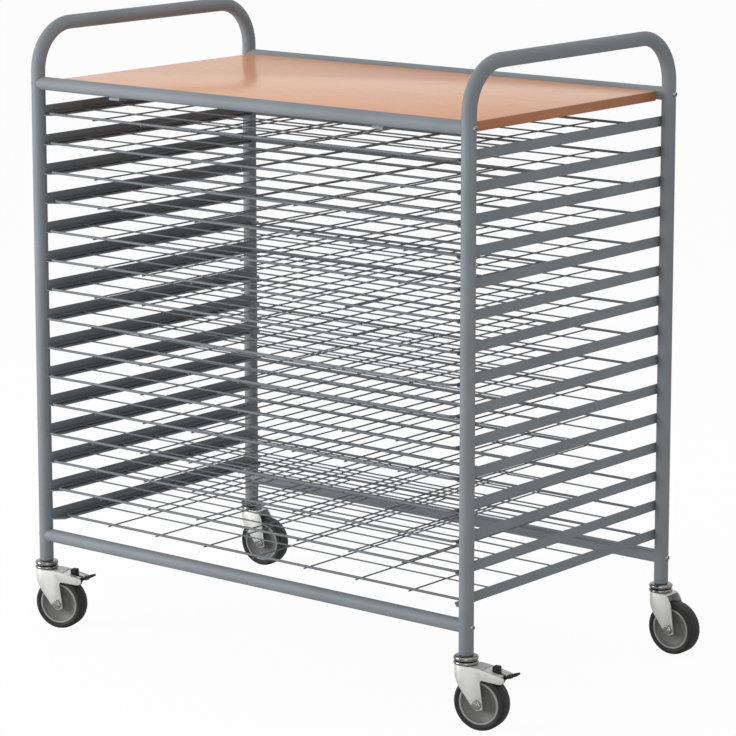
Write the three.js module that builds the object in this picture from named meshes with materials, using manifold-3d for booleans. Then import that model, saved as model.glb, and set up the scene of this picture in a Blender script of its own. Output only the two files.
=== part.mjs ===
// Mobile art drying rack: two bent-tube side frames with welded runners, four bolted cross rails,
// a laminated top board, fifteen loose wire trays and four swivel castors, the front two with brakes.
// Millimetres. X runs along the rack, Y from front to back, Z up, and the wheels stand on Z = 0.
import * as THREE from 'three';
import { mergeVertices } from 'three/addons/utils/BufferGeometryUtils.js';
import Module from 'manifold-3d';

const wasm = await Module();
wasm.setup();

// Clearances
const seatGap = 0.3;            // between pieces that touch on the real rack
const weldDepth = 0.6;          // how far welded pieces run into each other
const mergeDistance = 1e-4;     // corners closer than this are one corner
const curveSteps = 3;           // straight steps along each curve of an outline

// Frame
const postSpacingX = 1028;      // post axis to post axis, along the rack
const postSpacingY = 611;       // post axis to post axis, front to back
const postDiameter = 27;
const postWall = 1.5;
const handleRise = 123;         // from the top rails' axis to the top of the push handles
const handleBend = 88;          // bend radius of the tube's axis
const bendSteps = 5;
const postSides = 12;
const boreSides = 8;

// Cross rails
const railDiameter = 25;
const railWall = 1.5;
const railSides = 12;
const railPlug = 14;            // length of the threaded plug in each end
const bottomRailRise = 51;      // from the posts' feet to the bottom rails' axis
const railSpacing = 884;        // from the bottom rails' axis to the top rails' axis

// Frame bolts
const boltDiameter = 8;
const boltHeadDiameter = 12.5;
const boltHeadHeight = 3.6;
const boltSocket = 4.6;
const boltSocketDepth = 2.2;
const boltBite = 10;            // length of the thread inside the rail's plug
const boltSides = 8;

// Top board
const boardThickness = 18;
const boardEndGap = 19;         // how far the board stops short of the posts' axes at each end
const boardSideGap = 0.5;       // between the board's long edges and the posts
const boardDrop = 7.5;          // how far its top lies below the rails' tops

// Lugs and screws that hold the board
const lugWidth = 26;
const lugThickness = 5;
const lugReach = 34;            // from the rail's axis to the lug's tip
const lugSpacing = 630;         // between the two lugs of a rail
const lugWeld = 6;              // width of the weld between a lug and its rail
const screwDiameter = 4;
const screwHeadDiameter = 8;
const screwHeadHeight = 2.4;
const screwBite = 12;           // length of the screw inside the board
const screwInset = 9;           // from the lug's tip to the screw
const screwSides = 6;

// Runners
const levelCount = 15;
const firstRunnerRise = 32.5;   // from the bottom rails' axis to the lowest runner's underside
const lastRunnerDrop = 61.9;    // from the top rails' axis to the highest runner's underside
const runnerThickness = 2;
const runnerLeg = 20;           // height of the upright leg
const runnerFlange = 25;        // width of the flange that carries the tray
const runnerChamfer = 17;       // corner cut off each end of the flange
const runnerOverrun = 2.5;      // how far a runner passes the posts' axes

// Trays
const traySideGap = 6.5;        // between the border wire and each runner's upright leg
const trayShort = 30;           // how much less a tray measures front to back than the post spacing
const borderWire = 5;
const innerWire = 3;
const borderCorner = 14;        // bend radius of the border wire's axis
const cornerSteps = 2;
const borderSides = 6;
const innerSides = 4;
const acrossGaps = 8;           // gaps along the rack, so seven short wires
const depthGaps = 6;            // gaps from front to back, so five long wires
const wireStub = 3;             // how far the short wires stand out past the border
const trayOverhang = 15;        // how far a tray pulled right forward stands past the posts' axes
// How far each tray, from the lowest up, has been pushed back from there.
const traySetBacks = [40, 20, 9, 0, 8, 2, 1, 0, 10, 11, 9, 23, 15, 14, 12];

// Castors
const wheelDiameter = 100;
const wheelWidth = 31;
const tyreDepth = 11;           // from the hub's rim to the tread
const tyreShoulder = 2;         // rounding of the tyre's edges
const hubRim = 3.5;
const hubWeb = 12;              // thickness of the hub's dished web
const hubBossDiameter = 20;
const hubSideGap = 0.5;         // between the hub's boss and each cheek
const wheelSides = 20;
const axleDiameter = 10;
const axleHexagon = 16;         // across the flats of the bolt's head and the nut
const axleHeadHeight = 6;
const axleEnd = 2.5;            // thread showing past the nut
const axleSides = 8;
const hexagonSides = 6;
const castorTrail = 32;         // from the swivel axis to the axle
const crownClearance = 13.5;    // between the wheel and the fork's crown
const forkSideGap = 2.5;        // between the wheel and each cheek
const forkSheet = 2.5;
const forkEnd = 11;             // radius of a cheek's foot round the axle
const footStart = 214;          // where the cheek's front edge meets its foot, in degrees round the axle
const noseShare = 0.63;         // heights on a cheek, as shares of the way from the axle to the crown
const throatShare = 0.47;
const notchShare = 0.71;
const noseBulge = 0.7;          // how far out the nose's curve is drawn, as a share of half the fork's width
const notchInset = 0.4;         // from the axle to the notch, as a share of the foot's radius
const crownDiameter = 45;
const cupHeight = 9;
const crownRingHeight = 6.4;
const kingPinDiameter = 12;
const kingPinLip = 3.5;         // how far the king pin's head stands out round it
const kingPinHeadHeight = 2.6;
const plugEndGap = 7;           // between the plug in a post's foot and the bolt above it
const castorSides = 12;
// How far each castor has turned about its post, in degrees from trailing along +X.
const castors = [
  { name: 'front_left', side: -1, end: -1, turn: 16, braked: true },
  { name: 'front_right', side: 1, end: -1, turn: 10, braked: true },
  { name: 'rear_left', side: -1, end: 1, turn: 8, braked: false },
  { name: 'rear_right', side: 1, end: 1, turn: 0, braked: false },
];

// Brake rocker, between the arms of a braked fork
const rockerSideGap = 3;        // between the rocker and each arm
const rockerPin = 5;
const rockerClearance = 13.8;   // between the tread and the pin's axis
const rockerRise = 48.8;        // degrees above the axle at which the pin sits
const armDrop = 5.5;            // from the pin down to the lower edge of the fork's arm
const armRise = 6;              // from the pin up to the upper edge at the arm's end
const armBeyond = 10.5;         // from the pin to the arm's end
const armTaper = 0.7;           // where the arm's end starts to slope, as a share of that
// The rocker's outline about its pin, as distances along the castor and up.
const rockerOutline = [
  [-17, 8], [-12, -1], [-8, -8.5], [-3.5, -11], [0, -9], [3, -4], [9, -4.5], [31.5, 11.5], [30.5, 14.5],
  [8.5, 0.5], [3, 4], [-6.5, 9], [-6.5, 17], [-9, 18.5], [-15, 18.5], [-17, 16.5],
];

// Materials
const steelPaint = new THREE.MeshStandardMaterial({ color: 0x80868a, roughness: 0.45, metalness: 0.4 });
const wirePaint = new THREE.MeshStandardMaterial({ color: 0x767c7e, roughness: 0.45, metalness: 0.4 });
const beechLaminate = new THREE.MeshStandardMaterial({ color: 0xd9a883, roughness: 0.5, metalness: 0 });
const chrome = new THREE.MeshStandardMaterial({ color: 0xc9c9c6, roughness: 0.15, metalness: 1 });
const zinc = new THREE.MeshStandardMaterial({ color: 0xc8c8c4, roughness: 0.3, metalness: 0.9 });
const hubPlastic = new THREE.MeshStandardMaterial({ color: 0x6d6e6e, roughness: 0.55, metalness: 0 });
const tyreRubber = new THREE.MeshStandardMaterial({ color: 0x3a3a3a, roughness: 0.7, metalness: 0 });
const brakePlastic = new THREE.MeshStandardMaterial({ color: 0x161616, roughness: 0.6, metalness: 0 });

// Sizes worked out from the ones above
const postRadius = postDiameter / 2;
const postBore = postRadius - postWall;
const postX = postSpacingX / 2;
const postY = postSpacingY / 2;
const postFlat = postRadius * Math.cos(Math.PI / postSides);
const railRadius = railDiameter / 2;
const railFlat = railRadius * Math.cos(Math.PI / railSides);
const railBored = postX - postRadius - railPlug;
const axleHeight = wheelDiameter / 2;
const crownUnder = wheelDiameter + crownClearance;
const crownSheetTop = crownUnder + forkSheet;
const crownTop = crownSheetTop + crownRingHeight;
const postFoot = crownTop + seatGap + cupHeight + seatGap;
const bottomRailHeight = postFoot + bottomRailRise;
const topRailHeight = bottomRailHeight + railSpacing;
const handleTop = topRailHeight + handleRise;
const lowestRunner = bottomRailHeight + firstRunnerRise;
const levelPitch = (topRailHeight - lastRunnerDrop - lowestRunner) / (levelCount - 1);
const runnerOuter = postX - postFlat + weldDepth;
const trayWidth = 2 * (runnerOuter - runnerThickness - traySideGap);
const trayDepth = postSpacingY - trayShort;
const boardTop = topRailHeight + railRadius - boardDrop;
const boardBottom = boardTop - boardThickness;
const boltHole = boltDiameter / 2 + seatGap;
const plugLength = bottomRailRise - boltDiameter / 2 - plugEndGap;
const forkInside = wheelWidth + 2 * forkSideGap;
const forkOutside = forkInside + 2 * forkSheet;
const hexagonCorner = axleHexagon / 2 / Math.cos(Math.PI / hexagonSides);
const rockerWidth = forkInside - 2 * rockerSideGap;
const borderCorners = sameArea(borderWire / 2, borderSides);
const borderHalfHeight = borderCorners * Math.cos(Math.PI / borderSides);
const innerCorners = sameArea(innerWire / 2, innerSides);
const innerHalfHeight = innerCorners * Math.cos(Math.PI / innerSides);

// The corners' radius of a polygon with the same area as a round wire.
function sameArea(radius, sides) {
  const corner = (2 * Math.PI) / sides;
  return radius * Math.sqrt(corner / Math.sin(corner));
}

// Solids

function solidFrom(geometry) {
  const bare = geometry.index ? geometry.toNonIndexed() : geometry.clone();
  bare.deleteAttribute('normal');
  bare.deleteAttribute('uv');
  const merged = mergeVertices(bare, mergeDistance);
  return new wasm.Manifold(new wasm.Mesh({
    numProp: 3,
    vertProperties: merged.attributes.position.array,
    triVerts: new Uint32Array(merged.index.array),
  }));
}

function geometryFrom(solid) {
  const mesh = solid.getMesh();
  const geometry = new THREE.BufferGeometry();
  geometry.setAttribute('position', new THREE.BufferAttribute(mesh.vertProperties, mesh.numProp));
  geometry.setIndex(new THREE.BufferAttribute(mesh.triVerts, 1));
  return geometry;
}

function join(solids) {
  return wasm.Manifold.union(solids);
}

function cut(solid, tools) {
  return wasm.Manifold.difference([solid, ...tools]);
}

// A regular polygon with a flat facing along each axis when its sides divide by four.
function polygon(radius, sides, turn = 0.5) {
  const corners = [];
  for (let i = 0; i < sides; i += 1) {
    const angle = ((i + turn) / sides) * 2 * Math.PI;
    corners.push(new THREE.Vector2(radius * Math.cos(angle), radius * Math.sin(angle)));
  }
  return corners;
}

function box(from, to) {
  const size = new THREE.Vector3().subVectors(to, from);
  const middle = new THREE.Vector3().addVectors(from, to).multiplyScalar(0.5);
  return solidFrom(new THREE.BoxGeometry(size.x, size.y, size.z).translate(middle.x, middle.y, middle.z));
}

// A straight prism of a flat outline, standing on Z = bottom.
function prism(outline, bottom, height) {
  const shape = new THREE.Shape(outline);
  const extruded = new THREE.ExtrudeGeometry(shape, { depth: height, bevelEnabled: false });
  return solidFrom(extruded.translate(0, 0, bottom));
}

// A prism of an outline drawn in X and Z, centred on Y = 0.
function sidePrism(outline, width) {
  const shape = new THREE.Shape(outline);
  const extruded = new THREE.ExtrudeGeometry(shape, { depth: width, bevelEnabled: false });
  return solidFrom(extruded.translate(0, 0, -width / 2).rotateX(Math.PI / 2));
}

// A round bar between two points.
function rod(from, to, radius, sides, turn = 0.5) {
  const along = new THREE.Vector3().subVectors(to, from);
  const bar = new THREE.ExtrudeGeometry(new THREE.Shape(polygon(radius, sides, turn)), {
    depth: along.length(),
    bevelEnabled: false,
  });
  bar.applyQuaternion(new THREE.Quaternion().setFromUnitVectors(new THREE.Vector3(0, 0, 1), along.normalize()));
  return solidFrom(bar.translate(from.x, from.y, from.z));
}

// A turned piece about Z; the profile's points are a radius and a height, upwards on the outside.
function turned(profile, sides) {
  const points = profile.map(([radius, height]) => new THREE.Vector2(radius, height));
  return solidFrom(new THREE.LatheGeometry(points, sides).rotateX(Math.PI / 2).rotateZ(Math.PI / sides));
}

// A bent tube or wire passes through stations only, so its straight runs stay in one piece.
class StationPath extends THREE.Curve {
  constructor(stations) {
    super();
    this.stations = stations;
  }

  getPointAt(share) {
    return this.stations[Math.round(share * (this.stations.length - 1))].point.clone();
  }

  getTangentAt(share) {
    return this.stations[Math.round(share * (this.stations.length - 1))].tangent.clone();
  }
}

// Stations along a bend: the arc turns from one direction to another about its middle.
function bendStations(middle, fromDirection, toDirection, radius, steps) {
  const stations = [];
  for (let i = 0; i <= steps; i += 1) {
    const angle = (i / steps) * (Math.PI / 2);
    const tangent = fromDirection.clone().multiplyScalar(Math.cos(angle));
    tangent.addScaledVector(toDirection, Math.sin(angle));
    const point = middle.clone().addScaledVector(fromDirection, radius * Math.sin(angle));
    point.addScaledVector(toDirection, -radius * Math.cos(angle));
    stations.push({ point, tangent });
  }
  return stations;
}

function sweep(shape, stations) {
  const path = new StationPath(stations);
  return solidFrom(new THREE.ExtrudeGeometry(shape, { steps: stations.length - 1, extrudePath: path }));
}

// Side frames

function bentTube(x) {
  const up = new THREE.Vector3(0, 0, 1);
  const down = new THREE.Vector3(0, 0, -1);
  const back = new THREE.Vector3(0, 1, 0);
  const bendHeight = handleTop - postRadius - handleBend;
  const bendY = postY - handleBend;
  const stations = [
    { point: new THREE.Vector3(x, -postY, postFoot), tangent: up },
    ...bendStations(new THREE.Vector3(x, -bendY, bendHeight), up, back, handleBend, bendSteps),
    ...bendStations(new THREE.Vector3(x, bendY, bendHeight), back, down, handleBend, bendSteps),
    { point: new THREE.Vector3(x, postY, postFoot), tangent: down },
  ];
  const section = new THREE.Shape(polygon(postRadius, postSides));
  section.holes.push(new THREE.Path(polygon(postBore, boreSides)));
  return sweep(section, stations);
}

// An angle runner on the left side; the right side's is its mirror image.
function runner(bottom) {
  const outer = -runnerOuter;
  const inner = outer + runnerFlange;
  const end = postY + runnerOverrun;
  const leg = box(
    new THREE.Vector3(outer, -end, bottom),
    new THREE.Vector3(outer + runnerThickness, end, bottom + runnerLeg),
  );
  const flange = prism([
    new THREE.Vector2(outer, -end),
    new THREE.Vector2(inner - runnerChamfer, -end),
    new THREE.Vector2(inner, -end + runnerChamfer),
    new THREE.Vector2(inner, end - runnerChamfer),
    new THREE.Vector2(inner - runnerChamfer, end),
    new THREE.Vector2(outer, end),
  ], bottom, runnerThickness);
  return join([leg, flange]);
}

function runnerHeight(level) {
  return lowestRunner + level * levelPitch;
}

function sideFrame(side) {
  const pieces = [bentTube(-postX)];
  for (let level = 0; level < levelCount; level += 1) pieces.push(runner(runnerHeight(level)));
  const holes = [];
  for (const height of [topRailHeight, bottomRailHeight]) {
    for (const y of [-postY, postY]) {
      const from = new THREE.Vector3(-postX - postDiameter, y, height);
      const to = new THREE.Vector3(-postX + postDiameter, y, height);
      holes.push(rod(from, to, boltHole, boltSides));
    }
  }
  const left = cut(join(pieces), holes);
  return side < 0 ? left : left.mirror([1, 0, 0]);
}

// Cross rails, made about the X axis and then lifted to their places

function railBody() {
  const bore = railRadius - railWall;
  const profile = [
    [boltHole, -postX],
    [railRadius, -postX],
    [railRadius, postX],
    [boltHole, postX],
    [boltHole, railBored],
    [bore, railBored],
    [bore, -railBored],
    [boltHole, -railBored],
    [boltHole, -postX],
  ];
  const tube = turned(profile, railSides).rotate([0, 90, 0]);
  const copes = [-postX, postX].map((x) => rod(
    new THREE.Vector3(x, 0, -railDiameter),
    new THREE.Vector3(x, 0, railDiameter),
    postRadius + seatGap,
    postSides,
  ));
  return cut(tube, copes);
}

function lugScrewReach() {
  return lugReach - screwInset;
}

// The lugs reach inwards from a front rail; a rear rail is turned round.
function topRail() {
  const top = boardBottom - seatGap - topRailHeight;
  const solids = [railBody()];
  const holes = [];
  for (const x of [-lugSpacing / 2, lugSpacing / 2]) {
    solids.push(box(
      new THREE.Vector3(x - lugWidth / 2, -lugWeld / 2, top - lugThickness),
      new THREE.Vector3(x + lugWidth / 2, lugReach, top),
    ));
    solids.push(box(
      new THREE.Vector3(x - lugWidth / 2, -lugWeld / 2, top - weldDepth),
      new THREE.Vector3(x + lugWidth / 2, lugWeld / 2, weldDepth - railFlat),
    ));
    holes.push(rod(
      new THREE.Vector3(x, lugScrewReach(), top - 2 * lugThickness),
      new THREE.Vector3(x, lugScrewReach(), top + lugThickness),
      screwDiameter / 2 + seatGap,
      screwSides,
    ));
  }
  // A lug set higher would reach into the bore, so the bore is cut once more.
  const boreAgain = rod(
    new THREE.Vector3(-railBored, 0, 0),
    new THREE.Vector3(railBored, 0, 0),
    railRadius - railWall,
    railSides,
  );
  return cut(join(solids), [...holes, boreAgain]);
}

// The bolt's head seats at Z = 0 and its shank points down.
function frameBolt() {
  const end = -(postFlat + postRadius + boltBite);
  const head = boltHeadDiameter / 2;
  const rounding = boltHeadHeight / 2;
  return turned([
    [0, end],
    [boltDiameter / 2, end],
    [boltDiameter / 2, 0],
    [head, 0],
    [head, boltHeadHeight - rounding],
    [head - rounding, boltHeadHeight],
    [boltSocket / 2, boltHeadHeight],
    [boltSocket / 2, boltHeadHeight - boltSocketDepth],
    [0, boltHeadHeight - boltSocketDepth],
  ], boltSides);
}

// Top board and its screws

function boardScrewPlaces() {
  const y = postY - lugScrewReach();
  const places = [];
  for (const end of [-1, 1]) {
    for (const side of [-1, 1]) places.push(new THREE.Vector3(side * lugSpacing / 2, end * y, boardBottom));
  }
  return places;
}

function topBoard() {
  const halfX = postX - boardEndGap;
  const halfY = postY - Math.max(postRadius, railRadius) - boardSideGap;
  const slab = box(
    new THREE.Vector3(-halfX, -halfY, boardBottom),
    new THREE.Vector3(halfX, halfY, boardTop),
  );
  const holes = boardScrewPlaces().map((place) => rod(
    place.clone().setZ(boardBottom - boardThickness),
    place.clone().setZ(boardBottom + screwBite + seatGap),
    screwDiameter / 2 + seatGap,
    screwSides,
  ));
  return cut(slab, holes);
}

function boardScrew() {
  const headTop = -seatGap - lugThickness - seatGap;
  return turned([
    [0, headTop - screwHeadHeight],
    [screwHeadDiameter / 2 - screwHeadHeight / 2, headTop - screwHeadHeight],
    [screwHeadDiameter / 2, headTop - screwHeadHeight / 2],
    [screwHeadDiameter / 2, headTop],
    [screwDiameter / 2, headTop],
    [screwDiameter / 2, screwBite],
    [0, screwBite],
  ], screwSides);
}

// Trays, made with the border wire's axis at Z = 0 and the tray's middle at the origin

function borderHalf(side) {
  const halfX = trayWidth / 2 - borderCorners;
  const halfY = trayDepth / 2 - borderCorners;
  const cornerX = halfX - borderCorner;
  const cornerY = halfY - borderCorner;
  const out = new THREE.Vector3(side, 0, 0);
  const home = new THREE.Vector3(-side, 0, 0);
  const back = new THREE.Vector3(0, 1, 0);
  const stations = [
    { point: new THREE.Vector3(0, -halfY, 0), tangent: out },
    ...bendStations(new THREE.Vector3(side * cornerX, -cornerY, 0), out, back, borderCorner, cornerSteps),
    ...bendStations(new THREE.Vector3(side * cornerX, cornerY, 0), back, home, borderCorner, cornerSteps),
    { point: new THREE.Vector3(0, halfY, 0), tangent: home },
  ];
  return sweep(new THREE.Shape(polygon(borderCorners, borderSides)), stations);
}

function tray() {
  const halfX = trayWidth / 2 - borderCorners;
  const halfY = trayDepth / 2 - borderCorners;
  const shortWireZ = -(2 * innerHalfHeight + seatGap);
  const solids = [borderHalf(-1), borderHalf(1)];
  for (let i = 1; i < depthGaps; i += 1) {
    const y = -halfY + (i / depthGaps) * 2 * halfY;
    solids.push(rod(new THREE.Vector3(-halfX, y, 0), new THREE.Vector3(halfX, y, 0), innerCorners, innerSides));
  }
  for (let i = 1; i < acrossGaps; i += 1) {
    const x = -halfX + (i / acrossGaps) * 2 * halfX;
    const end = trayDepth / 2 + wireStub;
    solids.push(rod(
      new THREE.Vector3(x, -end, shortWireZ),
      new THREE.Vector3(x, end, shortWireZ),
      innerCorners,
      innerSides,
    ));
  }
  return join(solids);
}

// Castors, made with the swivel axis on Z, trailing along +X, at their real height

function castorHead() {
  const cupTop = postFoot - seatGap;
  const cupBottom = cupTop - cupHeight;
  const rim = crownDiameter / 2;
  const bevel = cupHeight / 3;
  const pin = kingPinDiameter / 2;
  const pinEnd = crownUnder - seatGap - kingPinHeadHeight;
  const plug = postBore * Math.cos(Math.PI / boreSides) - seatGap;
  return turned([
    [0, pinEnd],
    [pin + kingPinLip, pinEnd],
    [pin + kingPinLip, pinEnd + kingPinHeadHeight],
    [pin, pinEnd + kingPinHeadHeight],
    [pin, cupBottom],
    [rim - bevel, cupBottom],
    [rim, cupBottom + bevel],
    [rim, cupTop - bevel],
    [rim - bevel, cupTop],
    [plug, cupTop],
    [plug, postFoot + plugLength],
    [0, postFoot + plugLength],
  ], castorSides);
}

// Where the brake rocker's pin sits, along the castor and above the floor.
function rockerPivot() {
  const reach = wheelDiameter / 2 + rockerClearance;
  const rise = THREE.MathUtils.degToRad(rockerRise);
  return new THREE.Vector2(castorTrail + reach * Math.cos(rise), axleHeight + reach * Math.sin(rise));
}

function cheekOutline(braked) {
  const rim = crownDiameter / 2;
  const nose = forkOutside / 2;
  const rise = crownUnder - axleHeight;
  const start = THREE.MathUtils.degToRad(footStart);
  const shape = new THREE.Shape();
  shape.moveTo(-nose, crownSheetTop);
  shape.lineTo(-nose, crownUnder - 3 * forkSheet);
  const noseHeight = axleHeight + rise * noseShare;
  shape.quadraticCurveTo(-nose * noseBulge, noseHeight, -nose / 4, axleHeight + rise * throatShare);
  shape.lineTo(castorTrail + forkEnd * Math.cos(start), axleHeight + forkEnd * Math.sin(start));
  shape.absarc(castorTrail, axleHeight, forkEnd, start, 2 * Math.PI, false);
  shape.lineTo(castorTrail + forkEnd * notchInset, axleHeight + rise * notchShare);
  if (braked) {
    const pivot = rockerPivot();
    shape.lineTo(pivot.x, pivot.y - armDrop);
    shape.lineTo(pivot.x + armBeyond * armTaper, pivot.y - armDrop);
    shape.lineTo(pivot.x + armBeyond, pivot.y);
    shape.lineTo(pivot.x + armBeyond, pivot.y + armRise);
  }
  shape.lineTo(rim, crownSheetTop);
  return shape.getPoints(curveSteps);
}

// Half-round at the front, straight sides: the plan of a pressed fork.
function forkPlan(halfWidth) {
  const shape = new THREE.Shape();
  const far = 2 * wheelDiameter;
  shape.moveTo(far, -halfWidth);
  shape.lineTo(far, halfWidth);
  shape.lineTo(0, halfWidth);
  shape.absarc(0, 0, halfWidth, Math.PI / 2, 1.5 * Math.PI, false);
  return shape.getPoints(curveSteps + 1);
}

function castorFork(braked) {
  const below = -wheelDiameter;
  const pressed = sidePrism(cheekOutline(braked), 2 * forkOutside)
    .intersect(prism(forkPlan(forkOutside / 2), below, 4 * wheelDiameter));
  const hollow = prism(forkPlan(forkInside / 2), below, crownUnder - below);
  const ring = rod(
    new THREE.Vector3(0, 0, crownUnder),
    new THREE.Vector3(0, 0, crownTop),
    crownDiameter / 2,
    castorSides,
  );
  const kingPinHole = rod(
    new THREE.Vector3(0, 0, crownUnder - forkSheet),
    new THREE.Vector3(0, 0, crownTop + forkSheet),
    kingPinDiameter / 2 + seatGap,
    castorSides,
  );
  const across = new THREE.Vector3(castorTrail, forkOutside, axleHeight);
  const axleHole = rod(
    across.clone().setY(-forkOutside),
    across,
    axleDiameter / 2 + seatGap,
    axleSides,
  );
  const tools = [kingPinHole, axleHole];
  if (braked) {
    const pivot = rockerPivot();
    tools.push(rod(
      new THREE.Vector3(pivot.x, -forkOutside, pivot.y),
      new THREE.Vector3(pivot.x, forkOutside, pivot.y),
      rockerPin / 2 + seatGap,
      boltSides,
    ));
  }
  return cut(join([cut(pressed, [hollow]), ring]), tools);
}

// The wheel is turned about Z and then laid over, so that its axle lies along Y.
function layOver(solid) {
  return solid.rotate([90, 0, 0]).translate([castorTrail, 0, axleHeight]);
}

function castorHub() {
  const half = forkInside / 2 - hubSideGap;
  const rim = wheelDiameter / 2 - tyreDepth;
  const rimHalf = wheelWidth / 2 - tyreShoulder;
  const bore = axleDiameter / 2 + seatGap;
  const boss = hubBossDiameter / 2;
  const web = hubWeb / 2;
  return layOver(turned([
    [bore, -half],
    [boss, -half],
    [boss + hubRim, -web],
    [rim - hubRim, -rimHalf],
    [rim, -rimHalf],
    [rim, rimHalf],
    [rim - hubRim, rimHalf],
    [boss + hubRim, web],
    [boss, half],
    [bore, half],
    [bore, -half],
  ], wheelSides));
}

// The tread's flats, not its corners, are as far out as the wheel's radius, so it stands on Z = 0.
function castorTyre() {
  const tread = wheelDiameter / 2 / Math.cos(Math.PI / wheelSides);
  const inside = wheelDiameter / 2 - tyreDepth + seatGap;
  const half = wheelWidth / 2;
  return layOver(turned([
    [inside, -half + tyreShoulder],
    [tread - 2 * tyreShoulder, -half],
    [tread, -half + 3 * tyreShoulder],
    [tread, half - 3 * tyreShoulder],
    [tread - 2 * tyreShoulder, half],
    [inside, half - tyreShoulder],
    [inside, -half + tyreShoulder],
  ], wheelSides));
}

// The bolt's head is behind the fork and its nut in front.
function axleBolt() {
  const seat = forkOutside / 2 + seatGap;
  const nutFront = seat + axleHeadHeight + seatGap;
  const shank = rod(
    new THREE.Vector3(0, 0, -seat - axleHeadHeight / 2),
    new THREE.Vector3(0, 0, nutFront + axleEnd),
    axleDiameter / 2,
    axleSides,
  );
  const head = rod(
    new THREE.Vector3(0, 0, -seat - axleHeadHeight),
    new THREE.Vector3(0, 0, -seat),
    hexagonCorner,
    hexagonSides,
  );
  return layOver(join([shank, head]));
}

function axleNut() {
  const seat = forkOutside / 2 + seatGap;
  const body = rod(
    new THREE.Vector3(0, 0, seat),
    new THREE.Vector3(0, 0, seat + axleHeadHeight),
    hexagonCorner,
    hexagonSides,
  );
  const thread = rod(
    new THREE.Vector3(0, 0, seat - axleHeadHeight),
    new THREE.Vector3(0, 0, seat + 2 * axleHeadHeight),
    axleDiameter / 2 + seatGap,
    axleSides,
  );
  return layOver(cut(body, [thread]));
}

function brakeRocker() {
  const pivot = rockerPivot();
  const points = rockerOutline.map(([x, z]) => new THREE.Vector2(pivot.x + x, pivot.y + z));
  const pin = rod(
    new THREE.Vector3(pivot.x, -forkOutside / 2, pivot.y),
    new THREE.Vector3(pivot.x, forkOutside / 2, pivot.y),
    rockerPin / 2,
    boltSides,
  );
  return join([sidePrism(points, rockerWidth), pin]);
}

// Assembly

const rack = new THREE.Group();

function place(name, solid, material) {
  const mesh = new THREE.Mesh(geometryFrom(solid), material);
  mesh.name = name;
  return mesh;
}

rack.add(place('side_frame_left', sideFrame(-1), steelPaint));
rack.add(place('side_frame_right', sideFrame(1), steelPaint));

const railKinds = [
  { level: 'top', height: topRailHeight, solid: topRail() },
  { level: 'bottom', height: bottomRailHeight, solid: railBody() },
];
const ends = [
  { name: 'front', y: -postY, turn: 0 },
  { name: 'rear', y: postY, turn: Math.PI },
];
const sides = [
  { name: 'left', sign: -1 },
  { name: 'right', sign: 1 },
];
for (const rail of railKinds) {
  for (const end of ends) {
    const mesh = place(`rail_${rail.level}_${end.name}`, rail.solid, steelPaint);
    mesh.position.set(0, end.y, rail.height);
    mesh.rotation.z = end.turn;
    rack.add(mesh);
    for (const side of sides) {
      const bolt = place(`bolt_${rail.level}_${end.name}_${side.name}`, frameBolt(), zinc);
      bolt.position.set(side.sign * (postX + postFlat + seatGap), end.y, rail.height);
      bolt.rotation.y = side.sign * Math.PI / 2;
      rack.add(bolt);
    }
  }
}

rack.add(place('top_board', topBoard(), beechLaminate));
boardScrewPlaces().forEach((spot, index) => {
  const screw = place(`board_screw_${index + 1}`, boardScrew(), zinc);
  screw.position.copy(spot);
  rack.add(screw);
});

const trayGeometry = tray();
for (let level = 0; level < levelCount; level += 1) {
  const mesh = place(`tray_${String(level + 1).padStart(2, '0')}`, trayGeometry, wirePaint);
  const rest = runnerHeight(level) + runnerThickness + seatGap + borderHalfHeight;
  const setBack = traySetBacks[level % traySetBacks.length];
  mesh.position.set(0, -postY - trayOverhang + setBack + trayDepth / 2, rest);
  rack.add(mesh);
}

for (const castor of castors) {
  const group = new THREE.Group();
  group.position.set(castor.side * postX, castor.end * postY, 0);
  group.rotation.z = THREE.MathUtils.degToRad(castor.turn);
  const name = `castor_${castor.name}`;
  group.add(place(`${name}_head`, castorHead(), chrome));
  group.add(place(`${name}_fork`, castorFork(castor.braked), zinc));
  group.add(place(`${name}_hub`, castorHub(), hubPlastic));
  group.add(place(`${name}_tyre`, castorTyre(), tyreRubber));
  group.add(place(`${name}_axle_bolt`, axleBolt(), zinc));
  group.add(place(`${name}_axle_nut`, axleNut(), zinc));
  if (castor.braked) group.add(place(`${name}_brake`, brakeRocker(), brakePlastic));
  rack.add(group);
}

// The part's origin is on the floor, under the middle of the whole rack's box.
const part = new THREE.Group();
rack.updateMatrixWorld(true);
const middle = new THREE.Box3().setFromObject(rack, true).getCenter(new THREE.Vector3());
rack.position.set(-middle.x, -middle.y, 0);
part.add(rack);

export default part;
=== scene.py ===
# %% [markdown]
# A mobile art drying rack
#
# The rack has two bent-tube side frames, four cross rails, a laminated top board, fifteen loose wire trays
# and four castors. The CAD model already holds every piece at its right size and place, as many-sided
# solids. This lesson dresses it: each solid gets a smooth piece in the same place, with a finish made of
# nodes. The first step loads the CAD model and keeps its box, so that the last step can compare sizes.

# %% Load the frame
import math

import bmesh
import bpy
from mathutils import Matrix, Vector


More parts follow.
